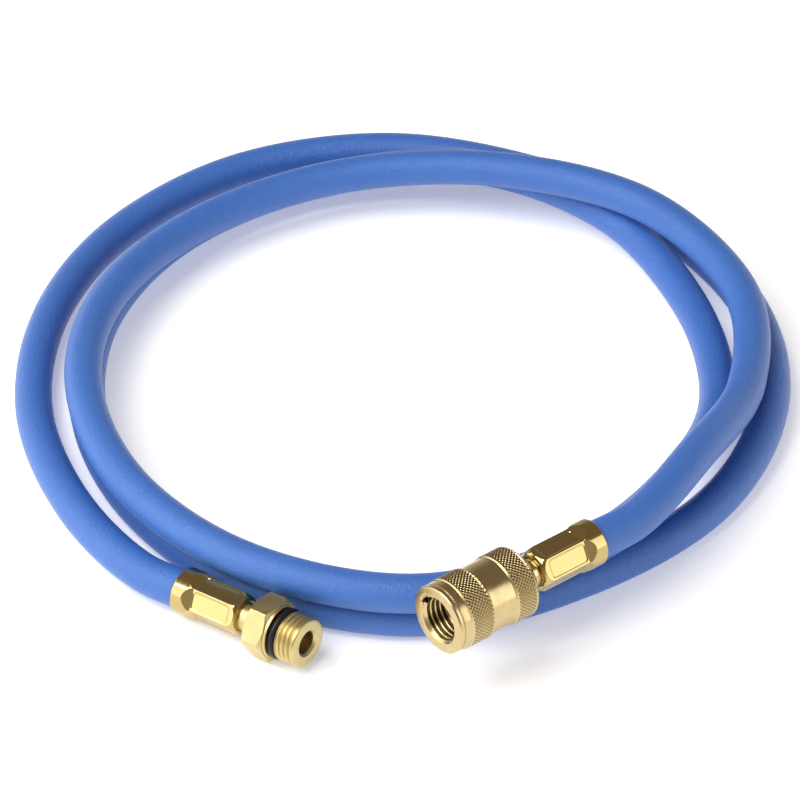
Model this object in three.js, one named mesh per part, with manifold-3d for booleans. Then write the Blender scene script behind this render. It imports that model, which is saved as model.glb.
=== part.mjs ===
import * as THREE from 'three';
import { mergeVertices } from 'three/addons/utils/BufferGeometryUtils.js';
import Module from 'manifold-3d';

const wasm = await Module();
wasm.setup();

// Refrigerant charging hose, lying loosely coiled on a level surface, +Z up, in millimetres.
// Every fitting is drawn along its own +Z, with zero at the rear face of its ferrule.

// Clearances between pieces
const SEAT_GAP = 0.3;
const SLIP_GAP = 0.3;

// Hose
const HOSE_DIAMETER = 10.8;
const HOSE_SIDES = 12;
const HOSE_STEPS = 78;
const HOSE_LEAD = 15.2;

// Where each ferrule sits, and where its fitting points: a heading from +X and a rise from level
const MALE_END = { seat: [-59, -89.8, 7.6], heading: -36.3, rise: 2.6 };
const NUT_END = { seat: [50.3, -93.2, 27], heading: -140.6, rise: 1 };

// Centreline of the hose between its two straight leads, from the male end to the nut end
const HOSE_ROUTE = [
  [-91.0, -52.2, 6.5],
  [-105.9, -6.2, 5.8],
  [-103.9, 42.1, 6.3],
  [-85.4, 86.6, 5.8],
  [-49.8, 119.0, 6.5],
  [-3.0, 129.5, 6.9],
  [43.4, 116.5, 5.8],
  [81.0, 86.1, 6.0],
  [103.5, 43.5, 5.8],
  [105.5, -4.5, 6.2],
  [86.9, -49.1, 5.8],
  [50.6, -81.3, 5.8],
  [5.9, -98.8, 5.8],
  [-40.1, -86.7, 5.8],
  [-73.5, -52.0, 5.8],
  [-90.3, -6.8, 5.8],
  [-88.4, 41.5, 5.8],
  [-66.4, 84.3, 5.9],
  [-26.8, 111.4, 6.9],
  [20.7, 113.9, 10.9],
  [61.9, 89.6, 9.7],
  [85.2, 47.7, 5.8],
  [90.7, -0.1, 6.5],
  [77.6, -45.7, 14.4],
  [49.1, -84.6, 17.7],
  [5.0, -102.5, 16.8],
  [-41.0, -89.7, 16.8],
  [-75.0, -55.7, 17.0],
  [-90.9, -10.2, 18.4],
  [-85.7, 37.6, 16.7],
  [-59.9, 78.3, 14.6],
  [-18.0, 101.5, 15.6],
  [29.6, 99.2, 19.4],
  [73.0, 77.9, 20.5],
  [99.0, 38.1, 17.2],
  [97.8, -9.4, 17.6],
  [80.3, -53.8, 26.3],
];

// Ferrule, a brass sleeve pressed onto the hose with six flats
const FERRULE_LENGTH = 21.2;
const FERRULE_WALL = 1.25;
const FERRULE_EDGE = 0.8;
const FERRULE_SHOULDER = 4.4;
const SHOULDER_STEPS = 4;
const FERRULE_FRONT_WALL = 0.5;
const CRIMP_START = 6.4;
const CRIMP_RAMP = 2.6;
const CRIMP_DEPTH = 1.15;
const MALE_CRIMP_TURN = 33.5;
const NUT_CRIMP_TURN = 28.3;

// Neck that both fittings share, and how deep it goes into the ferrule
const NECK_DIAMETER = 8;
const NECK_START = 9.3;
const NECK_EDGE = 0.4;
const PASSAGE_DIAMETER = 4.6;

// Male fitting with an M14 x 1.5 thread
const HEX_START = 25.9;
const HEX_LENGTH = 6.4;
const HEX_FLATS = 15.9;
const HEX_CHAMFER_ANGLE = 30;
const HEX_TURN = 29;
const WASHER_DIAMETER = 15.2;
const WASHER_LENGTH = 0.9;
const RING_SECTION = 1.8;
const RING_INNER_DIAMETER = 10.9;
const MALE_THREAD_DIAMETER = 14;
const MALE_THREAD_PITCH = 1.5;
const MALE_THREAD_DEPTH = 0.85;
const MALE_THREAD_TURNS = 4;
const MALE_THREAD_FLAT = 0.2;
const MALE_END_LAND = 0.3;
const MALE_BORE_DIAMETER = 6.4;
const MALE_BORE_DEPTH = 7;
const MALE_BORE_CHAMFER = 0.7;

// Coupling nut with a 1/2-16 ACME thread inside
const NUT_START = 25.8;
const NUT_LENGTH = 27.8;
const NUT_DIAMETER = 20;
const NUT_REAR_WALL = 3.5;
const NUT_REAR_CHAMFER = 1.8;
const REAR_KNURL_LENGTH = 6.3;
const WAIST_LENGTH = 8.5;
const WAIST_DEPTH = 0.5;
const WAIST_SLOPE = 0.4;
const FRONT_KNURL_LENGTH = 6.9;
const COLLAR_DEPTH = 0.45;
const COLLAR_LENGTH = 2.7;
const LIP_GROOVE_WIDTH = 0.3;
const LIP_GROOVE_DEPTH = 0.2;
const LIP_DEPTH = 0.45;
const LIP_ROUND = 1.1;
const LIP_STEPS = 3;
const NUT_THREAD_MAJOR = 12.9;
const NUT_THREAD_MINOR = 11.3;
const NUT_THREAD_PITCH = 1.5875;
const NUT_THREAD_TURNS = 6;
const NUT_THREAD_FLAT = 0.37;
const NUT_THREAD_FLANK = 0.13;
const NUT_THREAD_LEAD_IN = 1;
const NUT_MOUTH_DIAMETER = 13.4;
const NUT_MOUTH_CHAMFER = 0.5;

// Swivel stem and its gasket inside the nut
const HEAD_DIAMETER = 10.6;
const HEAD_LENGTH = 3;
const SPIGOT_DIAMETER = 5.2;
const GASKET_LENGTH = 2;
const GASKET_DIAMETER = 10;
const SPIGOT_REACH = 1.6;

// Facets around turned pieces
const TURN_SEGMENTS = 36;
const RING_SEGMENTS = 8;

const BRASS = { color: 0xc9b06a, roughness: 0.3, metalness: 1 };
const NICKELLED_BRASS = { color: 0xcfc3a6, roughness: 0.3, metalness: 1 };
const BLUE_RUBBER = { color: 0x3f68b8, roughness: 0.45, metalness: 0 };
const BLACK_RUBBER = { color: 0x14161c, roughness: 0.6, metalness: 0 };

const hoseRadius = HOSE_DIAMETER / 2;
const neckRadius = NECK_DIAMETER / 2;
const passageRadius = PASSAGE_DIAMETER / 2;
const neckHoleRadius = neckRadius + SLIP_GAP;
const nutRadius = NUT_DIAMETER / 2;

// A closed geometry without doubled vertices or triangles of no area
function weld(geometry) {
  const bare = geometry.clone();
  bare.deleteAttribute('normal');
  bare.deleteAttribute('uv');
  const welded = mergeVertices(bare);
  const corners = welded.index.array;
  const kept = [];
  for (let i = 0; i < corners.length; i += 3) {
    const [a, b, c] = [corners[i], corners[i + 1], corners[i + 2]];
    if (a !== b && b !== c && c !== a) {
      kept.push(a, b, c);
    }
  }
  welded.setIndex(kept);
  return welded;
}

function solidOf(geometry) {
  const welded = weld(geometry);
  const mesh = new wasm.Mesh({
    numProp: 3,
    vertProperties: new Float32Array(welded.attributes.position.array),
    triVerts: new Uint32Array(welded.index.array),
  });
  return new wasm.Manifold(mesh);
}

function geometryOf(solid) {
  const mesh = solid.getMesh();
  const geometry = new THREE.BufferGeometry();
  geometry.setAttribute('position', new THREE.Float32BufferAttribute(mesh.vertProperties, 3));
  geometry.setIndex(Array.from(mesh.triVerts));
  geometry.computeVertexNormals();
  return geometry;
}

// A turned piece from a profile of [radius, height] points, counterclockwise, about +Z
function turned(profile, segments = TURN_SEGMENTS) {
  const points = profile.map(([radius, height]) => new THREE.Vector2(radius, height));
  return new THREE.LatheGeometry(points, segments).rotateX(Math.PI / 2);
}

// Profile points of a rounded end, a quarter of an ellipse that narrows as it rises
function roundedEnd(radius, start, inward, upward, steps) {
  const points = [];
  for (let step = 0; step <= steps; step += 1) {
    const angle = (Math.PI / 2) * (step / steps);
    points.push([radius - inward * (1 - Math.cos(angle)), start + upward * Math.sin(angle)]);
  }
  return points;
}

// A turned ring: the profile is closed on itself
function turnedRing(profile, segments = TURN_SEGMENTS) {
  return turned([...profile, profile[0]], segments);
}

// A prism with six flats, one corner at the given turn from +X
function hexPrism(flats, length, turn) {
  const corner = flats / Math.sqrt(3);
  const outline = [];
  for (let k = 0; k < 6; k += 1) {
    const angle = THREE.MathUtils.degToRad(turn + 60 * k);
    outline.push(new THREE.Vector2(corner * Math.cos(angle), corner * Math.sin(angle)));
  }
  return new THREE.ExtrudeGeometry(new THREE.Shape(outline), { depth: length, bevelEnabled: false });
}

// Ferrule: a round sleeve with a shoulder at its front and six pressed flats
function ferruleGeometry(turn) {
  const outer = hoseRadius + FERRULE_WALL;
  const bottom = NECK_START - SEAT_GAP;
  const frontRadius = neckHoleRadius + FERRULE_FRONT_WALL;
  const shoulder = FERRULE_LENGTH - FERRULE_SHOULDER;
  const sleeve = solidOf(turned([
    [0, 0],
    [outer - FERRULE_EDGE, 0],
    [outer, FERRULE_EDGE],
    ...roundedEnd(outer, shoulder, outer - frontRadius, FERRULE_SHOULDER, SHOULDER_STEPS),
    [neckHoleRadius, FERRULE_LENGTH],
    [neckHoleRadius, bottom],
    [0, bottom],
  ]));
  // One press jaw leaves a flat that ramps up to the round rear end
  const flat = outer - CRIMP_DEPTH;
  const reach = outer + CRIMP_DEPTH;
  const jawOutline = new THREE.Shape([
    new THREE.Vector2(flat, CRIMP_START),
    new THREE.Vector2(flat, FERRULE_LENGTH + CRIMP_DEPTH),
    new THREE.Vector2(reach, FERRULE_LENGTH + CRIMP_DEPTH),
    new THREE.Vector2(reach, CRIMP_START - 2 * CRIMP_RAMP),
  ]);
  const jawWidth = 2 * outer;
  const jaw = new THREE.ExtrudeGeometry(jawOutline, { depth: jawWidth, bevelEnabled: false });
  jaw.translate(0, 0, -jawWidth / 2).rotateX(Math.PI / 2);
  let ferrule = sleeve;
  for (let k = 0; k < 6; k += 1) {
    const angle = THREE.MathUtils.degToRad(turn + 30 + 60 * k);
    ferrule = ferrule.subtract(solidOf(jaw.clone().rotateZ(angle)));
  }
  return geometryOf(ferrule);
}

// Male fitting: neck, hexagon, washer face, ring groove and thread in one piece
const hexEnd = HEX_START + HEX_LENGTH;
const washerEnd = hexEnd + WASHER_LENGTH;
const grooveEnd = washerEnd + RING_SECTION + 2 * SEAT_GAP;
const maleThreadEnd = grooveEnd + MALE_THREAD_PITCH * MALE_THREAD_TURNS;
const maleEnd = maleThreadEnd + MALE_END_LAND;

function maleFittingGeometry() {
  const washer = WASHER_DIAMETER / 2;
  const groove = RING_INNER_DIAMETER / 2 - SEAT_GAP;
  const crest = MALE_THREAD_DIAMETER / 2;
  const root = crest - MALE_THREAD_DEPTH;
  const flank = (MALE_THREAD_PITCH * (1 - MALE_THREAD_FLAT)) / 2;
  const bore = MALE_BORE_DIAMETER / 2;
  const boreStart = maleEnd - MALE_BORE_DEPTH;
  const profile = [
    [passageRadius, NECK_START],
    [neckRadius - NECK_EDGE, NECK_START],
    [neckRadius, NECK_START + NECK_EDGE],
    [neckRadius, HEX_START + HEX_LENGTH / 2],
    [washer, HEX_START + HEX_LENGTH / 2],
    [washer, washerEnd],
    [groove, washerEnd],
    [groove, grooveEnd],
    [root, grooveEnd],
  ];
  for (let turn = 0; turn < MALE_THREAD_TURNS; turn += 1) {
    const start = grooveEnd + turn * MALE_THREAD_PITCH;
    profile.push([crest, start + flank]);
    profile.push([crest, start + MALE_THREAD_PITCH - flank]);
    profile.push([root, start + MALE_THREAD_PITCH]);
  }
  profile.push([root, maleEnd]);
  profile.push([bore + MALE_BORE_CHAMFER, maleEnd]);
  profile.push([bore, maleEnd - MALE_BORE_CHAMFER]);
  profile.push([bore, boreStart]);
  profile.push([passageRadius, boreStart - (bore - passageRadius)]);
  const body = solidOf(turnedRing(profile));

  // The hexagon's corners are turned back at both ends
  const corner = HEX_FLATS / Math.sqrt(3);
  const roundedCorner = HEX_FLATS / 2;
  const chamferLength = (corner - roundedCorner) * Math.tan(THREE.MathUtils.degToRad(HEX_CHAMFER_ANGLE));
  const turnedCorners = solidOf(turnedRing([
    [neckRadius - NECK_EDGE, HEX_START],
    [roundedCorner, HEX_START],
    [corner, HEX_START + chamferLength],
    [corner, hexEnd - chamferLength],
    [roundedCorner, hexEnd],
    [neckRadius - NECK_EDGE, hexEnd],
  ]));
  const prism = hexPrism(HEX_FLATS, HEX_LENGTH, HEX_TURN).translate(0, 0, HEX_START);
  const hexagon = solidOf(prism).intersect(turnedCorners);
  return geometryOf(body.add(hexagon));
}

// Sealing ring behind the male thread
function sealRingGeometry() {
  const section = RING_SECTION / 2;
  const centre = RING_INNER_DIAMETER / 2 + section;
  const height = (washerEnd + grooveEnd) / 2;
  return new THREE.TorusGeometry(centre, section, RING_SEGMENTS, TURN_SEGMENTS).translate(0, 0, height);
}

// Coupling nut: knurled bands, waist, collar and lip outside, thread and cavity inside
const cavityStart = NUT_START + NUT_REAR_WALL;
const nutEnd = NUT_START + NUT_LENGTH;

function couplingNutGeometry() {
  const rearKnurlStart = NUT_START + NUT_REAR_CHAMFER;
  const waistStart = rearKnurlStart + REAR_KNURL_LENGTH;
  const waistEnd = waistStart + WAIST_LENGTH;
  const frontKnurlEnd = waistEnd + FRONT_KNURL_LENGTH;
  const grooveStart = frontKnurlEnd + COLLAR_LENGTH;
  const lipStart = grooveStart + LIP_GROOVE_WIDTH;
  const waist = nutRadius - WAIST_DEPTH;
  const collar = nutRadius - COLLAR_DEPTH;
  const lip = nutRadius - LIP_DEPTH;
  const mouth = NUT_MOUTH_DIAMETER / 2;
  const major = NUT_THREAD_MAJOR / 2;
  const minor = NUT_THREAD_MINOR / 2;
  const profile = [
    [neckHoleRadius, NUT_START],
    [nutRadius - NUT_REAR_CHAMFER, NUT_START],
    [nutRadius, rearKnurlStart],
    [nutRadius, waistStart],
    [waist, waistStart + WAIST_SLOPE],
    [waist, waistEnd - WAIST_SLOPE],
    [nutRadius, waistEnd],
    [nutRadius, frontKnurlEnd],
    [collar, frontKnurlEnd],
    [collar, grooveStart],
    [collar - LIP_GROOVE_DEPTH, grooveStart],
    [collar - LIP_GROOVE_DEPTH, lipStart],
    [lip, lipStart],
    ...roundedEnd(lip, nutEnd - LIP_ROUND, LIP_ROUND, LIP_ROUND, LIP_STEPS),
    [mouth, nutEnd],
    [major, nutEnd - NUT_MOUTH_CHAMFER],
  ];
  const threadTop = nutEnd - NUT_THREAD_LEAD_IN;
  const flank = NUT_THREAD_FLANK * NUT_THREAD_PITCH;
  const flat = NUT_THREAD_FLAT * NUT_THREAD_PITCH;
  for (let turn = 0; turn < NUT_THREAD_TURNS; turn += 1) {
    const top = threadTop - turn * NUT_THREAD_PITCH;
    profile.push([major, top]);
    profile.push([minor, top - flank]);
    profile.push([minor, top - flank - flat]);
    profile.push([major, top - 2 * flank - flat]);
  }
  profile.push([major, cavityStart]);
  profile.push([neckHoleRadius, cavityStart]);
  return turnedRing(profile);
}

// Swivel stem: its neck passes through the nut's rear wall, and its head holds the nut on
const headStart = cavityStart + SEAT_GAP;
const headEnd = headStart + HEAD_LENGTH;
const gasketStart = headEnd + SEAT_GAP;
const gasketEnd = gasketStart + GASKET_LENGTH;

function swivelStemGeometry() {
  const head = HEAD_DIAMETER / 2;
  const spigot = SPIGOT_DIAMETER / 2;
  const spigotEnd = gasketEnd + SPIGOT_REACH;
  const spigotBore = spigot / 2;
  return turnedRing([
    [spigotBore, NECK_START],
    [neckRadius - NECK_EDGE, NECK_START],
    [neckRadius, NECK_START + NECK_EDGE],
    [neckRadius, headStart],
    [head, headStart],
    [head, headEnd],
    [spigot, headEnd],
    [spigot, spigotEnd],
    [spigotBore, spigotEnd],
  ]);
}

// Flat gasket around the stem's spigot
function gasketGeometry() {
  const inner = SPIGOT_DIAMETER / 2 + SEAT_GAP;
  const outer = GASKET_DIAMETER / 2;
  return turnedRing([
    [inner, gasketStart],
    [outer, gasketStart],
    [outer, gasketEnd],
    [inner, gasketEnd],
  ]);
}

function direction(end) {
  const heading = THREE.MathUtils.degToRad(end.heading);
  const rise = THREE.MathUtils.degToRad(end.rise);
  const level = Math.cos(rise);
  return new THREE.Vector3(level * Math.cos(heading), level * Math.sin(heading), Math.sin(rise));
}

// A point on a fitting's axis, measured from its ferrule's rear face
function onAxis(end, distance) {
  return new THREE.Vector3(...end.seat).addScaledVector(direction(end), distance);
}

function hoseGeometry() {
  const route = [
    onAxis(MALE_END, -SEAT_GAP),
    onAxis(MALE_END, -HOSE_LEAD),
    ...HOSE_ROUTE.map((point) => new THREE.Vector3(...point)),
    onAxis(NUT_END, -HOSE_LEAD),
    onAxis(NUT_END, -SEAT_GAP),
  ];
  const section = [];
  for (let k = 0; k < HOSE_SIDES; k += 1) {
    const angle = (2 * Math.PI * k) / HOSE_SIDES;
    section.push(new THREE.Vector2(hoseRadius * Math.cos(angle), hoseRadius * Math.sin(angle)));
  }
  return new THREE.ExtrudeGeometry(new THREE.Shape(section), {
    steps: HOSE_STEPS,
    extrudePath: new THREE.CatmullRomCurve3(route),
    bevelEnabled: false,
  });
}

function named(name, geometry, finish) {
  const mesh = new THREE.Mesh(weld(geometry), new THREE.MeshStandardMaterial(finish));
  mesh.name = name;
  return mesh;
}

// A group whose +Z points along a fitting's axis and whose +X points up
function fittingGroup(end) {
  const axis = direction(end);
  const up = new THREE.Vector3(0, 0, 1).addScaledVector(axis, -axis.z).normalize();
  const side = new THREE.Vector3().crossVectors(axis, up);
  const group = new THREE.Group();
  group.quaternion.setFromRotationMatrix(new THREE.Matrix4().makeBasis(up, side, axis));
  group.position.set(...end.seat);
  return group;
}

const maleGroup = fittingGroup(MALE_END);
maleGroup.add(named('ferrule_male_end', ferruleGeometry(MALE_CRIMP_TURN), BRASS));
maleGroup.add(named('male_fitting', maleFittingGeometry(), BRASS));
maleGroup.add(named('o_ring', sealRingGeometry(), BLACK_RUBBER));

const nutGroup = fittingGroup(NUT_END);
nutGroup.add(named('ferrule_nut_end', ferruleGeometry(NUT_CRIMP_TURN), BRASS));
nutGroup.add(named('swivel_stem', swivelStemGeometry(), NICKELLED_BRASS));
nutGroup.add(named('seal_gasket', gasketGeometry(), BLACK_RUBBER));
nutGroup.add(named('coupling_nut', couplingNutGeometry(), BRASS));

const chargingHose = new THREE.Group();
chargingHose.add(named('hose', hoseGeometry(), BLUE_RUBBER));
chargingHose.add(maleGroup);
chargingHose.add(nutGroup);

export default chargingHose;
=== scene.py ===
"""Refrigerant charging hose: a blue hose in loose turns, with a brass fitting pressed onto each end."""

import math

import bmesh
import bpy
from mathutils import Matrix, Vector


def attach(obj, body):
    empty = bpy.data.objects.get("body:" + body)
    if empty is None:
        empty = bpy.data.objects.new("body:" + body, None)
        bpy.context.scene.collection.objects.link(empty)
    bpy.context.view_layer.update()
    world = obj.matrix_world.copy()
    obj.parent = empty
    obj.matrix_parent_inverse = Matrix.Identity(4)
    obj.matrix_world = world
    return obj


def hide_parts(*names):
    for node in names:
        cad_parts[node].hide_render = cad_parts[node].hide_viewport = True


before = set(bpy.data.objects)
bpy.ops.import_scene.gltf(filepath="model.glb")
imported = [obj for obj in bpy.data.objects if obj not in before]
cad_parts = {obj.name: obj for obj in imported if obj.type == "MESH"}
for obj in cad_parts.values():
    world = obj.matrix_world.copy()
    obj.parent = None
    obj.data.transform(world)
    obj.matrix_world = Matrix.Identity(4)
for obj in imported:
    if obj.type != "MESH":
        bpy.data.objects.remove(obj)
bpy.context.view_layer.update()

# Lengths are written in millimetres, and MM turns them into Blender's metres
MM = 0.001

# The camera looks at the middle of the coil from in front and above
CAMERA_TARGET = Vector((-0.9, 6.2, 0.3)) * MM
CAMERA_DISTANCE = 1150 * MM
CAMERA_ELEVATION = math.radians(36.5)
CAMERA_LENS = 178.2
CAMERA_SENSOR = 36.0

# Clearance where two pieces seat on each other
SEAT_GAP = 0.3

# Round corners are drawn with this many steps, and edges with no size of their own are this round
CORNER_STEPS = 3
FINE_EDGE = 0.12

# Spacing of mesh rings where nothing is cut
HIDDEN_SPACING = 2.0

# Metres that one unit of a band texture's scale spans
BAND_LENGTH = math.pi / 10

# Hose
HOSE_DIAMETER = 10.8
HOSE_LEAD = 15.2
HOSE_TUCK = 3
HOSE_STEPS_PER_SPAN = 14
HOSE_BEVEL_STEPS = 10

# Where each ferrule sits, and where its fitting points: a heading from +X and a rise from level
MALE_END = {"seat": (-59, -89.8, 7.6), "heading": -36.3, "rise": 2.6}
NUT_END = {"seat": (50.3, -93.2, 27), "heading": -140.6, "rise": 1}

# Centreline of the hose between its two straight leads, from the male end to the nut end
HOSE_ROUTE = [
    (-91.0, -52.2, 6.5),
    (-105.9, -6.2, 5.8),
    (-103.9, 42.1, 6.3),
    (-85.4, 86.6, 5.8),
    (-49.8, 119.0, 6.5),
    (-3.0, 129.5, 6.9),
    (43.4, 116.5, 5.8),
    (81.0, 86.1, 6.0),
    (103.5, 43.5, 5.8),
    (105.5, -4.5, 6.2),
    (86.9, -49.1, 5.8),
    (50.6, -81.3, 5.8),
    (5.9, -98.8, 5.8),
    (-40.1, -86.7, 5.8),
    (-73.5, -52.0, 5.8),
    (-90.3, -6.8, 5.8),
    (-88.4, 41.5, 5.8),
    (-66.4, 84.3, 5.9),
    (-26.8, 111.4, 6.9),
    (20.7, 113.9, 10.9),
    (61.9, 89.6, 9.7),
    (85.2, 47.7, 5.8),
    (90.7, -0.1, 6.5),
    (77.6, -45.7, 14.4),
    (49.1, -84.6, 17.7),
    (5.0, -102.5, 16.8),
    (-41.0, -89.7, 16.8),
    (-75.0, -55.7, 17.0),
    (-90.9, -10.2, 18.4),
    (-85.7, 37.6, 16.7),
    (-59.9, 78.3, 14.6),
    (-18.0, 101.5, 15.6),
    (29.6, 99.2, 19.4),
    (73.0, 77.9, 20.5),
    (99.0, 38.1, 17.2),
    (97.8, -9.4, 17.6),
    (80.3, -53.8, 26.3),
]

# Ferrule
FERRULE_LENGTH = 21.2
FERRULE_WALL = 1.25
FERRULE_EDGE = 0.8
FERRULE_SHOULDER = 4.4
SHOULDER_STEPS = 8
FERRULE_FRONT_WALL = 0.5
FERRULE_MOUTH_DEPTH = 4
FERRULE_MOUTH_GAP = 0.12
NECK_FIT = 0.04
CRIMP_START = 6.4
CRIMP_RAMP = 2.6
CRIMP_DEPTH = 1.15
CRIMP_EDGE = 0.12
SLEEVE_STEPS = 288
SLEEVE_SPACING = 0.13
PANEL_START = 6.6
PANEL_END = 18.9
PANEL_HALF_WIDTH = 2.65
PANEL_CORNER = 1.1
PANEL_DEPTH = 0.2
PANEL_EDGE = 0.2
MALE_CRIMP_TURN = 33.5
NUT_CRIMP_TURN = 28.3

# Neck of both fittings
NECK_DIAMETER = 8
NECK_START = 9.3
PASSAGE_DIAMETER = 4.6

# Male fitting with an M14 x 1.5 thread
HEX_START = 25.9
HEX_LENGTH = 6.4
HEX_FLATS = 15.9
HEX_CHAMFER_ANGLE = 30
HEX_TURN = 29
WASHER_DIAMETER = 15.2
WASHER_LENGTH = 0.9
RING_SECTION = 1.8
RING_INNER_DIAMETER = 10.9
MALE_THREAD_DIAMETER = 14
MALE_THREAD_PITCH = 1.5
MALE_THREAD_DEPTH = 0.85
MALE_THREAD_LENGTH = 6
MALE_END_LAND = 0.3
MALE_BORE_DIAMETER = 6.4
MALE_BORE_DEPTH = 7
MALE_BORE_CHAMFER = 0.7
MALE_END_EDGE = 0.9
MALE_STEPS = 240
THREAD_SPACING = 0.14
HEX_SPACING = 0.3
THREAD_ZONE = 0.6
THREAD_FADE = 0.6
THREAD_RUNOUT = 0.25
CREST_WIDENING = 1.3

# Coupling nut with a 1/2-16 ACME thread inside
NUT_START = 25.8
NUT_LENGTH = 27.8
NUT_DIAMETER = 20
NUT_REAR_WALL = 3.5
NUT_REAR_CHAMFER = 1.8
REAR_KNURL_LENGTH = 6.3
WAIST_LENGTH = 8.5
WAIST_DEPTH = 0.5
FRONT_KNURL_LENGTH = 6.9
COLLAR_DEPTH = 0.45
COLLAR_LENGTH = 2.7
LIP_GROOVE_WIDTH = 0.3
LIP_GROOVE_DEPTH = 0.2
LIP_DEPTH = 0.45
LIP_ROUND = 1.1
NUT_THREAD_MAJOR = 12.9
NUT_THREAD_MINOR = 11.3
NUT_THREAD_PITCH = 1.5875
NUT_THREAD_LENGTH = 10
NUT_THREAD_LEAD_IN = 1
NUT_MOUTH_DIAMETER = 13.4
KNURL_PITCH = 1.15
KNURL_DEPTH = 0.42
NOTCH_TURN = 55
NOTCH_WIDTH = 32
NOTCH_RADIUS = 7.9
NOTCH_LENGTH = 2.2
STEPS_PER_TOOTH = 6
KNURL_SPACING = 0.15
KNURL_FADE = 0.35

# Swivel stem and gasket
HEAD_DIAMETER = 10.6
HEAD_LENGTH = 3
SPIGOT_DIAMETER = 5.2
GASKET_LENGTH = 2
GASKET_DIAMETER = 10
SPIGOT_REACH = 1.6


def linear(hex_colour):
    """An sRGB hex colour as linear RGBA."""
    channels = [int(hex_colour[i:i + 2], 16) / 255 for i in (1, 3, 5)]
    return [c / 12.92 if c <= 0.04045 else ((c + 0.055) / 1.055) ** 2.4 for c in channels] + [1.0]


def add_node(tree, kind, settings=None, values=None, links=None):
    """Adds a node, sets its properties and input values, and links sockets into its inputs."""
    node = tree.nodes.new(kind)
    for name, value in (settings or {}).items():
        setattr(node, name, value)
    for name, value in (values or {}).items():
        node.inputs[name].default_value = value
    for name, socket in (links or {}).items():
        tree.links.new(socket, node.inputs[name])
    return node


# Camera

camera_data = bpy.data.cameras.new("camera")
camera_data.lens = CAMERA_LENS
camera_data.sensor_width = CAMERA_SENSOR
camera = bpy.data.objects.new("camera", camera_data)
bpy.context.collection.objects.link(camera)
camera.location = CAMERA_TARGET + CAMERA_DISTANCE * Vector(
    (0, -math.cos(CAMERA_ELEVATION), math.sin(CAMERA_ELEVATION))
)
camera.rotation_euler = (math.pi / 2 - CAMERA_ELEVATION, 0, 0)
bpy.context.scene.camera = camera


# Frames of the two fittings: +Z along the fitting, +X upwards, zero at the ferrule's rear face

def fitting_frame(end):
    heading = math.radians(end["heading"])
    rise = math.radians(end["rise"])
    level = math.cos(rise)
    axis = Vector((level * math.cos(heading), level * math.sin(heading), math.sin(rise)))
    up = (Vector((0, 0, 1)) - axis * axis.z).normalized()
    side = axis.cross(up)
    turn = Matrix((up, side, axis)).transposed().to_4x4()
    return Matrix.Translation(Vector(end["seat"]) * MM) @ turn


MALE_FRAME = fitting_frame(MALE_END)
NUT_FRAME = fitting_frame(NUT_END)


# Materials

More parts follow.
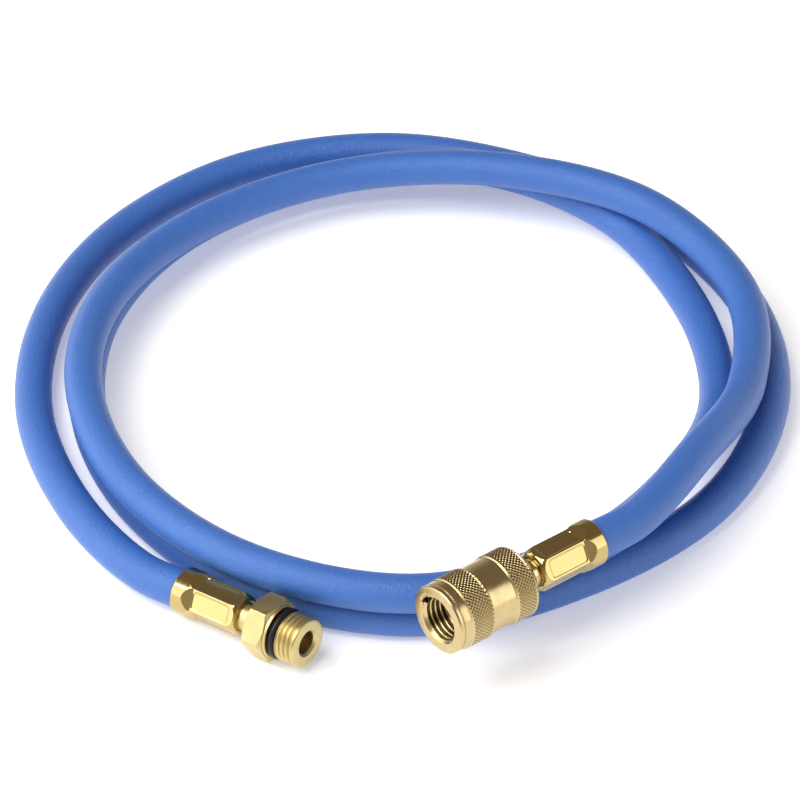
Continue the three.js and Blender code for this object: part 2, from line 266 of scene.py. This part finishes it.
def brass(name, fitting, colour, worn_colour, roughness, mark_depth, mark_spacing, grain,
          pit_shade_colour=None):
    """Free-cutting brass, turned or pressed. Turning leaves fine rings across the axis, and handling
    leaves duller patches. Where a pit shade colour is given, painted shade darkens the bottom of deep
    cuts, such as the knurl's pits and the thread grooves inside the nut's mouth.

    Real turning marks are about 0.1 mm apart. They are drawn coarser, at the mark spacing, to show.
    """
    material = bpy.data.materials.new(name)
    material.use_nodes = True
    tree = material.node_tree
    tree.nodes.clear()
    place = fitting.inverted()
    coords = add_node(tree, "ShaderNodeTexCoord")
    mapping = add_node(
        tree, "ShaderNodeMapping",
        values={"Location": place.to_translation(), "Rotation": place.to_euler()},
        links={"Vector": coords.outputs["Object"]},
    )
    patches = add_node(
        tree, "ShaderNodeTexNoise",
        values={"Scale": 1 / (3.5 * MM), "Detail": 3.0, "Roughness": 0.6},
        links={"Vector": mapping.outputs["Vector"]},
    )
    tint = add_node(
        tree, "ShaderNodeMix", {"data_type": "RGBA"},
        links={"Factor": patches.outputs["Fac"]},
    )
    tint.inputs["A"].default_value = linear(colour)
    tint.inputs["B"].default_value = linear(worn_colour)
    surface_colour = tint.outputs["Result"]
    if pit_shade_colour:
        # Painted shade: the deeper a point was cut, inward or outward, the more it takes of the dark pit
        # shade colour
        depth = add_node(tree, "ShaderNodeAttribute", {"attribute_name": "cut_depth"})
        moved = add_node(tree, "ShaderNodeMath", {"operation": "ABSOLUTE"})
        tree.links.new(depth.outputs["Fac"], moved.inputs[0])
        pit_shade_share = add_node(
            tree, "ShaderNodeMapRange",
            values={"From Min": KNURL_DEPTH * 0.45, "From Max": KNURL_DEPTH},
            links={"Value": moved.outputs["Value"]},
        )
        pit_shaded = add_node(
            tree, "ShaderNodeMix", {"data_type": "RGBA"},
            links={"Factor": pit_shade_share.outputs["Result"]},
        )
        tree.links.new(surface_colour, pit_shaded.inputs["A"])
        pit_shaded.inputs["B"].default_value = linear(pit_shade_colour)
        surface_colour = pit_shaded.outputs["Result"]
    gloss = add_node(
        tree, "ShaderNodeMapRange",
        values={"From Min": 0.3, "From Max": 0.7, "To Min": roughness * 0.8, "To Max": roughness * 1.25},
        links={"Value": patches.outputs["Fac"]},
    )
    marks = add_node(
        tree, "ShaderNodeTexWave", {"wave_type": "BANDS", "bands_direction": "Z"},
        values={"Scale": BAND_LENGTH / (mark_spacing * MM), "Distortion": 1.5, "Detail": 2.0,
                "Detail Scale": 2.0},
        links={"Vector": mapping.outputs["Vector"]},
    )
    pits = add_node(
        tree, "ShaderNodeTexNoise",
        values={"Scale": 1 / (0.35 * MM), "Detail": 2.0},
        links={"Vector": mapping.outputs["Vector"]},
    )
    mark_bump = add_node(
        tree, "ShaderNodeBump",
        values={"Strength": mark_depth, "Distance": 0.05 * MM},
        links={"Height": marks.outputs["Fac"]},
    )
    grain_bump = add_node(
        tree, "ShaderNodeBump",
        values={"Strength": grain, "Distance": 0.05 * MM},
        links={"Height": pits.outputs["Fac"], "Normal": mark_bump.outputs["Normal"]},
    )
    shader = add_node(
        tree, "ShaderNodeBsdfPrincipled",
        values={"Metallic": 1.0},
        links={"Base Color": surface_colour, "Roughness": gloss.outputs["Result"],
               "Normal": grain_bump.outputs["Normal"]},
    )
    add_node(tree, "ShaderNodeOutputMaterial", links={"Surface": shader.outputs["BSDF"]})
    return material


def extruded_hose_cover():
    """Extruded synthetic rubber: a satin skin whose fine dimples break up its highlight.

    Real dimples are about 0.4 mm apart. They are drawn at 1 mm to show.
    """
    material = bpy.data.materials.new("extruded_blue_rubber")
    material.use_nodes = True
    tree = material.node_tree
    tree.nodes.clear()
    coords = add_node(tree, "ShaderNodeTexCoord")
    clouds = add_node(
        tree, "ShaderNodeTexNoise",
        values={"Scale": 1 / (14 * MM), "Detail": 3.0},
        links={"Vector": coords.outputs["Object"]},
    )
    tint = add_node(
        tree, "ShaderNodeMix", {"data_type": "RGBA"},
        links={"Factor": clouds.outputs["Fac"]},
    )
    tint.inputs["A"].default_value = linear("#3767b6")
    tint.inputs["B"].default_value = linear("#3c6fbf")
    dimples = add_node(
        tree, "ShaderNodeTexNoise",
        values={"Scale": 1 / MM, "Detail": 4.0, "Roughness": 0.7},
        links={"Vector": coords.outputs["Object"]},
    )
    dimple_bump = add_node(
        tree, "ShaderNodeBump",
        values={"Strength": 0.8, "Distance": 0.5 * MM},
        links={"Height": dimples.outputs["Fac"]},
    )
    shader = add_node(
        tree, "ShaderNodeBsdfPrincipled",
        values={"Metallic": 0.0, "Roughness": 0.34, "IOR": 1.5},
        links={"Base Color": tint.outputs["Result"], "Normal": dimple_bump.outputs["Normal"]},
    )
    add_node(tree, "ShaderNodeOutputMaterial", links={"Surface": shader.outputs["BSDF"]})
    return material


def moulded_seal_rubber():
    """Moulded nitrile rubber: almost black, with a soft sheen."""
    material = bpy.data.materials.new("moulded_nitrile_rubber")
    material.use_nodes = True
    tree = material.node_tree
    tree.nodes.clear()
    coords = add_node(tree, "ShaderNodeTexCoord")
    bloom = add_node(
        tree, "ShaderNodeTexNoise",
        values={"Scale": 1 / (1.2 * MM), "Detail": 2.0},
        links={"Vector": coords.outputs["Object"]},
    )
    tint = add_node(
        tree, "ShaderNodeMix", {"data_type": "RGBA"},
        links={"Factor": bloom.outputs["Fac"]},
    )
    tint.inputs["A"].default_value = linear("#08090d")
    tint.inputs["B"].default_value = linear("#12131b")
    bump = add_node(
        tree, "ShaderNodeBump",
        values={"Strength": 0.15, "Distance": 0.05 * MM},
        links={"Height": bloom.outputs["Fac"]},
    )
    shader = add_node(
        tree, "ShaderNodeBsdfPrincipled",
        values={"Metallic": 0.0, "Roughness": 0.45, "Specular IOR Level": 0.35},
        links={"Base Color": tint.outputs["Result"], "Normal": bump.outputs["Normal"]},
    )
    add_node(tree, "ShaderNodeOutputMaterial", links={"Surface": shader.outputs["BSDF"]})
    return material


# Turning: every fitting piece starts as a profile of [radius, height] points about +Z

def rounded(profile, size):
    """The profile with each marked corner replaced by a small arc. A third value marks a corner."""
    points = []
    count = len(profile)
    for index, point in enumerate(profile):
        corner = Vector(point[:2])
        radius = point[2] if len(point) > 2 else size
        before = Vector(profile[index - 1][:2])
        after = Vector(profile[(index + 1) % count][:2])
        reach = min(radius, 0.45 * (before - corner).length, 0.45 * (after - corner).length)
        if corner.x == 0 or before == corner or reach <= 0:
            points.append(corner)
            continue
        start = corner + (before - corner).normalized() * reach
        end = corner + (after - corner).normalized() * reach
        for step in range(CORNER_STEPS + 1):
            t = step / CORNER_STEPS
            points.append(start * (1 - t) ** 2 + corner * 2 * t * (1 - t) + end * t ** 2)
    return points


def rounded_end(radius, start, inward, upward, steps):
    """Profile points of a rounded end, a quarter of an ellipse that narrows as it rises."""
    points = []
    for step in range(steps + 1):
        angle = math.pi / 2 * step / steps
        points.append((radius - inward * (1 - math.cos(angle)), start + upward * math.sin(angle), 0.01))
    return points


def divided(points, spacing, closed):
    """The outline with every stretch cut into lengths of at most the spacing."""
    outline = []
    pairs = list(zip(points, points[1:] + points[:1])) if closed else list(zip(points, points[1:]))
    for start, end in pairs:
        pieces = max(1, math.ceil((end - start).length / spacing(start, end)))
        outline += [start.lerp(end, k / pieces) for k in range(pieces)]
    if not closed:
        outline.append(points[-1])
    return outline


def turned(profile, steps, spacing=lambda start, end: 1e9, closed=True, edge=FINE_EDGE):
    """A closed turned mesh, in millimetres, from a counterclockwise profile."""
    outline = divided(rounded(profile, edge), spacing, closed)
    mesh = bmesh.new()
    verts = [mesh.verts.new((point.x, 0, point.y)) for point in outline]
    edges = [mesh.edges.new(pair) for pair in zip(verts, verts[1:])]
    if closed:
        edges.append(mesh.edges.new((verts[-1], verts[0])))
    bmesh.ops.spin(
        mesh, geom=verts + edges, cent=(0, 0, 0), axis=(0, 0, 1),
        angle=2 * math.pi, steps=steps, use_merge=True,
    )
    bmesh.ops.remove_doubles(mesh, verts=mesh.verts, dist=1e-4)
    bmesh.ops.recalc_face_normals(mesh, faces=mesh.faces)
    return mesh


def reshape(mesh, new_radius):
    """Moves every point in or out: new_radius takes its angle in degrees, height and radius.

    Each point keeps how deep it was cut, in millimetres.
    """
    cut_depth = mesh.verts.layers.float.new("cut_depth")
    for vert in mesh.verts:
        radius = math.hypot(vert.co.x, vert.co.y)
        if radius > 1e-6:
            angle = math.degrees(math.atan2(vert.co.y, vert.co.x))
            cut_radius = new_radius(angle, vert.co.z, radius)
            vert[cut_depth] = radius - cut_radius
            scale = cut_radius / radius
            vert.co.x *= scale
            vert.co.y *= scale


def finished(name, mesh, fitting, material, body, nodes):
    """Places a turned mesh in its fitting's frame, gives it its material and body, and hides the CAD
    nodes it stands in for.
    """
    bmesh.ops.transform(mesh, matrix=fitting @ Matrix.Scale(MM, 4), verts=mesh.verts)
    data = bpy.data.meshes.new(name)
    mesh.to_mesh(data)
    mesh.free()
    data.shade_smooth()
    data.materials.append(material)
    piece = bpy.data.objects.new(name, data)
    bpy.context.collection.objects.link(piece)
    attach(piece, body)
    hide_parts(*nodes)
    return piece


def flat_radius(angle, turn, apothem):
    """How far out a six-sided bar reaches at an angle, one corner at the given turn."""
    from_flat = (angle - turn) % 60 - 30
    return apothem / math.cos(math.radians(from_flat))


def soft_min(a, b, blend):
    """The smaller of two values, with a rounded changeover."""
    h = max(0.0, 1 - abs(a - b) / blend)
    return min(a, b) - h * h * blend / 4


# Hose

def catmull_rom(points, steps):
    """Points along a centripetal Catmull-Rom curve through the given ones."""
    line = []
    for index in range(len(points) - 1):
        p1, p2 = points[index], points[index + 1]
        p0 = points[index - 1] if index else p1 * 2 - p2
        p3 = points[index + 2] if index + 2 < len(points) else p2 * 2 - p1
        d0, d1, d2 = [math.sqrt((b - a).length) for a, b in ((p0, p1), (p1, p2), (p2, p3))]
        t1 = ((p1 - p0) / d0 - (p2 - p0) / (d0 + d1) + (p2 - p1) / d1) * d1
        t2 = ((p2 - p1) / d1 - (p3 - p1) / (d1 + d2) + (p3 - p2) / d2) * d1
        for step in range(steps):
            t = step / steps
            cubic = 2 * p1 - 2 * p2 + t1 + t2
            square = 3 * p2 - 3 * p1 - 2 * t1 - t2
            line.append(p1 + t1 * t + square * t ** 2 + cubic * t ** 3)
    line.append(points[-1])
    return line


def on_axis(fitting, distance):
    """A point on a fitting's axis, that many millimetres from its ferrule's rear face."""
    return fitting @ Vector((0, 0, distance * MM))


def hose():
    route = [
        on_axis(MALE_FRAME, HOSE_TUCK),
        on_axis(MALE_FRAME, -HOSE_LEAD),
        *[Vector(point) * MM for point in HOSE_ROUTE],
        on_axis(NUT_FRAME, -HOSE_LEAD),
        on_axis(NUT_FRAME, HOSE_TUCK),
    ]
    line = catmull_rom(route, HOSE_STEPS_PER_SPAN)
    curve = bpy.data.curves.new("charging_hose", "CURVE")
    curve.dimensions = "3D"
    curve.bevel_depth = HOSE_DIAMETER / 2 * MM
    curve.bevel_resolution = HOSE_BEVEL_STEPS
    curve.use_fill_caps = True
    spline = curve.splines.new("POLY")
    spline.points.add(len(line) - 1)
    for point, place in zip(spline.points, line):
        point.co = (*place, 1)
    spline.use_smooth = True
    curve.materials.append(extruded_hose_cover())
    piece = bpy.data.objects.new("charging_hose", curve)
    bpy.context.collection.objects.link(piece)
    length = sum((b - a).length for a, b in zip(line, line[1:]))
    return piece, length


hose_piece, hose_length = hose()
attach(hose_piece, "hose_line")
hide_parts("hose")


# Ferrules

def panel_share(across, height):
    """1 on a jaw's pressed panel, 0 on the line that frames it, and a short slope between."""
    half_length = (PANEL_END - PANEL_START) / 2
    middle = (PANEL_END + PANEL_START) / 2
    reach_x = max(0.0, abs(across) - (PANEL_HALF_WIDTH - PANEL_CORNER))
    reach_y = max(0.0, abs(height - middle) - (half_length - PANEL_CORNER))
    inside = PANEL_CORNER - math.hypot(reach_x, reach_y)
    return min(1.0, max(0.0, inside / PANEL_EDGE))


def ferrule(name, node, fitting, crimp_turn):
    """Brass sleeve pressed by six jaws: each leaves a flat panel with a fine raised line round it."""
    outer = HOSE_DIAMETER / 2 + FERRULE_WALL
    mouth = HOSE_DIAMETER / 2 + FERRULE_MOUTH_GAP
    neck_hole = NECK_DIAMETER / 2 + NECK_FIT
    front = neck_hole + FERRULE_FRONT_WALL
    shoulder = FERRULE_LENGTH - FERRULE_SHOULDER
    bottom = NECK_START - SEAT_GAP
    profile = [
        (0, FERRULE_MOUTH_DEPTH),
        (mouth, FERRULE_MOUTH_DEPTH),
        (mouth, 0, 0.2),
        (outer, 0, FERRULE_EDGE),
        *rounded_end(outer, shoulder, outer - front, FERRULE_SHOULDER, SHOULDER_STEPS),
        (neck_hole, FERRULE_LENGTH, 0.1),
        (neck_hole, bottom),
        (0, bottom),
    ]

    def spacing(start, end):
        return SLEEVE_SPACING if min(start.x, end.x) > front else HIDDEN_SPACING

    sleeve = turned(profile, SLEEVE_STEPS, spacing, closed=False)
    flat = outer - CRIMP_DEPTH

    def pressed(angle, height, radius):
        if radius < front - 0.01:
            return radius
        ramp = max(0.0, CRIMP_START - height) / CRIMP_RAMP * CRIMP_DEPTH
        from_middle = math.radians((angle - crimp_turn) % 60 - 30)
        across = flat * math.tan(from_middle)
        apothem = flat + ramp - PANEL_DEPTH * panel_share(across, height)
        return soft_min(radius, apothem / math.cos(from_middle), CRIMP_EDGE)

    reshape(sleeve, pressed)
    material = brass(
        name + "_polished_brass", fitting, "#c3ae76", "#bca66c",
        roughness=0.12, mark_depth=0.03, mark_spacing=1.885, grain=0.03,
    )
    return finished(name, sleeve, fitting, material, "hose_line", [node])


ferrule("male_end_ferrule", "ferrule_male_end", MALE_FRAME, MALE_CRIMP_TURN)
ferrule("nut_end_ferrule", "ferrule_nut_end", NUT_FRAME, NUT_CRIMP_TURN)


# Male fitting

hex_end = HEX_START + HEX_LENGTH
washer_end = hex_end + WASHER_LENGTH
groove_end = washer_end + RING_SECTION + 2 * SEAT_GAP
male_thread_end = groove_end + MALE_THREAD_LENGTH
male_end = male_thread_end + MALE_END_LAND


def male_fitting():
    """One turned piece with a milled hexagon and a rolled thread."""
    neck = NECK_DIAMETER / 2
    passage = PASSAGE_DIAMETER / 2
    corner = HEX_FLATS / math.sqrt(3)
    face = HEX_FLATS / 2
    chamfer = (corner - face) * math.tan(math.radians(HEX_CHAMFER_ANGLE))
    washer = WASHER_DIAMETER / 2
    groove = RING_INNER_DIAMETER / 2 - SEAT_GAP
    crest = MALE_THREAD_DIAMETER / 2
    bore = MALE_BORE_DIAMETER / 2
    bore_start = male_end - MALE_BORE_DEPTH
    thread_top = male_end - THREAD_RUNOUT
    profile = [
        (passage, NECK_START),
        (neck, NECK_START, 0.4),
        (neck, HEX_START),
        (face, HEX_START, 0.05),
        (corner, HEX_START + chamfer, 0.1),
        (corner, hex_end - chamfer, 0.1),
        (face, hex_end, 0.05),
        (washer, hex_end, 0.05),
        (washer, washer_end, 0.12),
        (groove, washer_end, 0.1),
        (groove, groove_end, 0.1),
        (crest, groove_end, 0.35),
        (crest, male_end, MALE_END_EDGE),
        (bore + MALE_BORE_CHAMFER, male_end, 0.1),
        (bore, male_end - MALE_BORE_CHAMFER, 0.1),
        (bore, bore_start),
        (passage, bore_start - (bore - passage)),
    ]

    def spacing(start, end):
        if min(start.x, end.x) > groove and min(start.y, end.y) >= groove_end - 0.01:
            return THREAD_SPACING
        if min(start.x, end.x) > face - 0.1 and max(start.y, end.y) <= hex_end + 0.01:
            return HEX_SPACING
        return HIDDEN_SPACING

    body = turned(profile, MALE_STEPS, spacing)

    def cut(angle, height, radius):
        if HEX_START - 0.01 <= height <= hex_end + 0.01 and radius > face - 0.01:
            return min(radius, flat_radius(angle, HEX_TURN, face))
        if radius > crest - THREAD_ZONE and groove_end < height < thread_top:
            phase = (height - groove_end) / MALE_THREAD_PITCH - angle / 360
            valley = 0.5 + 0.5 * math.cos(2 * math.pi * phase)
            fade = min(1.0, (thread_top - height) / THREAD_FADE)
            return min(radius, crest - MALE_THREAD_DEPTH * fade * valley ** CREST_WIDENING)
        return radius

    reshape(body, cut)
    material = brass(
        "turned_brass_fitting", MALE_FRAME, "#cdbd88", "#c4b37c",
        roughness=0.36, mark_depth=0.1, mark_spacing=1.571, grain=0.12,
    )
    return finished(
        "male_fitting_piece", body, MALE_FRAME, material, "hose_line", ["male_fitting"],
    )


def o_ring(material):
    centre = RING_INNER_DIAMETER / 2 + RING_SECTION / 2
    height = (washer_end + groove_end) / 2
    section = RING_SECTION / 2
    profile = []
    for k in range(20):
        angle = 2 * math.pi * k / 20
        profile.append((centre + section * math.cos(angle), height + section * math.sin(angle)))
    ring = turned(profile, 96, edge=0.0)
    return finished("seal_ring", ring, MALE_FRAME, material, "hose_line", ["o_ring"])


seal_rubber = moulded_seal_rubber()
male_fitting()
o_ring(seal_rubber)


# Coupling nut

cavity_start = NUT_START + NUT_REAR_WALL
nut_end = NUT_START + NUT_LENGTH
rear_knurl_start = NUT_START + NUT_REAR_CHAMFER
waist_start = rear_knurl_start + REAR_KNURL_LENGTH
waist_end = waist_start + WAIST_LENGTH
front_knurl_end = waist_end + FRONT_KNURL_LENGTH
lip_groove_start = front_knurl_end + COLLAR_LENGTH
lip_start = lip_groove_start + LIP_GROOVE_WIDTH
nut_radius = NUT_DIAMETER / 2
neck_hole_radius = NECK_DIAMETER / 2 + SEAT_GAP


def triangle_wave(x):
    """0 at whole numbers and 1 halfway between them."""
    return 1 - abs(2 * (x % 1) - 1)


def coupling_nut():
    """Turned nut with two diamond-knurled bands and a coarse thread inside."""
    waist = nut_radius - WAIST_DEPTH
    collar = nut_radius - COLLAR_DEPTH
    lip = nut_radius - LIP_DEPTH
    mouth = NUT_MOUTH_DIAMETER / 2
    major = NUT_THREAD_MAJOR / 2
    minor = NUT_THREAD_MINOR / 2
    thread_top = nut_end - NUT_THREAD_LEAD_IN
    thread_bottom = thread_top - NUT_THREAD_LENGTH
    profile = [
        (neck_hole_radius, NUT_START, 0.2),
        (nut_radius - NUT_REAR_CHAMFER, NUT_START, 0.6),
        (nut_radius, rear_knurl_start, 0.3),
        (nut_radius, waist_start, 0.15),
        (waist, waist_start + 0.3, 0.2),
        (waist, waist_end - 0.3, 0.2),
        (nut_radius, waist_end, 0.15),
        (nut_radius, front_knurl_end, 0.15),
        (collar, front_knurl_end + 0.2, 0.1),
        (collar, lip_groove_start, 0.1),
        (collar - LIP_GROOVE_DEPTH, lip_groove_start, 0.05),
        (collar - LIP_GROOVE_DEPTH, lip_start, 0.05),
        (lip, lip_start, 0.1),
        (lip, nut_end, LIP_ROUND),
        (mouth, nut_end, 0.15),
        (minor, nut_end - (mouth - minor), 0.1),
        (minor, thread_bottom),
        (major, thread_bottom - (major - minor)),
        (major, cavity_start),
        (neck_hole_radius, cavity_start),
    ]
    knurls = ((rear_knurl_start, waist_start), (waist_end, front_knurl_end))

    def in_knurl(height):
        return any(low - 0.01 <= height <= high + 0.01 for low, high in knurls)

    def spacing(start, end):
        if min(start.x, end.x) >= nut_radius - 0.2 and in_knurl((start.y + end.y) / 2):
            return KNURL_SPACING
        if max(start.x, end.x) < mouth + 0.1 and min(start.y, end.y) >= thread_bottom - 1:
            return 0.2
        return 1.5

    teeth = round(2 * math.pi * nut_radius / KNURL_PITCH)
    body = turned(profile, teeth * STEPS_PER_TOOTH, spacing)

    def cut(angle, height, radius):
        if radius > nut_radius - 0.25 and in_knurl(height):
            around = angle / 360 * teeth
            along = height / KNURL_PITCH
            ridge = min(triangle_wave(around + along), triangle_wave(around - along))
            fade = min(1.0, min(abs(height - edge) for band in knurls for edge in band) / KNURL_FADE)
            return radius - KNURL_DEPTH * (1 - ridge) * fade
        if radius < mouth + 0.1 and thread_bottom - 1 < height:
            depth_in = nut_end - height
            from_notch = abs((angle - NOTCH_TURN + 180) % 360 - 180)
            if from_notch < NOTCH_WIDTH / 2 and depth_in < NOTCH_LENGTH:
                return max(radius, NOTCH_RADIUS)
            if radius < major:
                phase = (height - thread_bottom) / NUT_THREAD_PITCH - angle / 360
                groove = min(1.0, max(0.0, 1.6 * triangle_wave(phase) - 0.3))
                return max(radius, minor + (major - minor) * groove)
        return radius

    reshape(body, cut)
    # The dark pit shade colour is painted shade in the knurl's pits and in the thread inside the mouth
    material = brass(
        "knurled_brass_nut", NUT_FRAME, "#cbb98c", "#c1ab7a",
        roughness=0.24, mark_depth=0.08, mark_spacing=1.571, grain=0.08, pit_shade_colour="#54401f",
    )
    return finished("knurled_nut", body, NUT_FRAME, material, "nut", ["coupling_nut"])


head_start = cavity_start + SEAT_GAP
head_end = head_start + HEAD_LENGTH
gasket_start = head_end + SEAT_GAP
gasket_end = gasket_start + GASKET_LENGTH


def swivel_stem():
    neck = NECK_DIAMETER / 2
    head = HEAD_DIAMETER / 2
    spigot = SPIGOT_DIAMETER / 2
    spigot_end = gasket_end + SPIGOT_REACH
    stem = turned([
        (spigot / 2, NECK_START),
        (neck, NECK_START, 0.4),
        (neck, head_start),
        (head, head_start, 0.3),
        (head, head_end, 0.3),
        (spigot, head_end),
        (spigot, spigot_end, 0.3),
        (spigot / 2, spigot_end, 0.2),
    ], 128)
    material = brass(
        "polished_brass_stem", NUT_FRAME, "#c9bb93", "#c0b086",
        roughness=0.18, mark_depth=0.05, mark_spacing=1.885, grain=0.03,
    )
    return finished(
        "swivel_stem_piece", stem, NUT_FRAME, material, "hose_line", ["swivel_stem"],
    )


def gasket(material):
    inner = SPIGOT_DIAMETER / 2 + SEAT_GAP
    outer = GASKET_DIAMETER / 2
    ring = turned([
        (inner, gasket_start, 0.2),
        (outer, gasket_start, 0.3),
        (outer, gasket_end, 0.3),
        (inner, gasket_end, 0.2),
    ], 96)
    return finished("flat_gasket", ring, NUT_FRAME, material, "hose_line", ["seal_gasket"])


coupling_nut()
swivel_stem()
gasket(seal_rubber)


# Floor and light

def studio_floor():
    """White acrylic table, faintly lit from below, as small parts are photographed on."""
    bpy.ops.mesh.primitive_plane_add(size=8, location=(0, 0, 0))
    floor = bpy.context.object
    floor.name = "floor"
    material = bpy.data.materials.new("pale_floor")
    material.use_nodes = True
    tree = material.node_tree
    tree.nodes.clear()
    shader = add_node(
        tree, "ShaderNodeBsdfPrincipled",
        values={"Base Color": linear("#fafafa"), "Roughness": 0.8,
                "Emission Color": linear("#ffffff"), "Emission Strength": 0.32},
    )
    add_node(tree, "ShaderNodeOutputMaterial", links={"Surface": shader.outputs["BSDF"]})
    floor.data.materials.append(material)


def softbox(name, place, size, radiance):
    """A softbox that faces the part, with its place and size in metres.

    Its power follows from how bright its cloth looks.
    """
    data = bpy.data.lights.new(name, "AREA")
    data.shape = "RECTANGLE"
    data.size, data.size_y = size
    data.energy = radiance * math.pi * size[0] * size[1]
    light = bpy.data.objects.new(name, data)
    bpy.context.collection.objects.link(light)
    light.location = place
    light.rotation_euler = (-Vector(place)).to_track_quat("-Z", "Y").to_euler()


def studio_world():
    """A dim warm studio, lighter near the horizon."""
    world = bpy.data.worlds.new("studio")
    bpy.context.scene.world = world
    world.use_nodes = True
    tree = world.node_tree
    tree.nodes.clear()
    coords = add_node(tree, "ShaderNodeTexCoord")
    parts = add_node(tree, "ShaderNodeSeparateXYZ", links={"Vector": coords.outputs["Generated"]})
    ramp = add_node(tree, "ShaderNodeValToRGB", links={"Fac": parts.outputs["Z"]})
    ramp.color_ramp.elements[0].position = 0.1
    ramp.color_ramp.elements[0].color = linear("#c9c2bb")
    ramp.color_ramp.elements[1].position = 0.5
    ramp.color_ramp.elements[1].color = linear("#85796f")
    sky = add_node(
        tree, "ShaderNodeBackground",
        links={"Color": ramp.outputs["Color"]},
    )
    add_node(tree, "ShaderNodeOutputWorld", links={"Surface": sky.outputs["Background"]})


studio_floor()
studio_world()
softbox("key_softbox", (-0.56, -0.4, 1.1), (1.0, 0.9), 5.6)
softbox("left_softbox", (-1.01, -0.14, 0.41), (1.15, 0.8), 1.9)
softbox("right_softbox", (0.97, -0.33, 0.41), (0.65, 0.8), 1.7)

# Plain display colours, so that the white table shows as white
bpy.context.scene.view_settings.view_transform = "Standard"
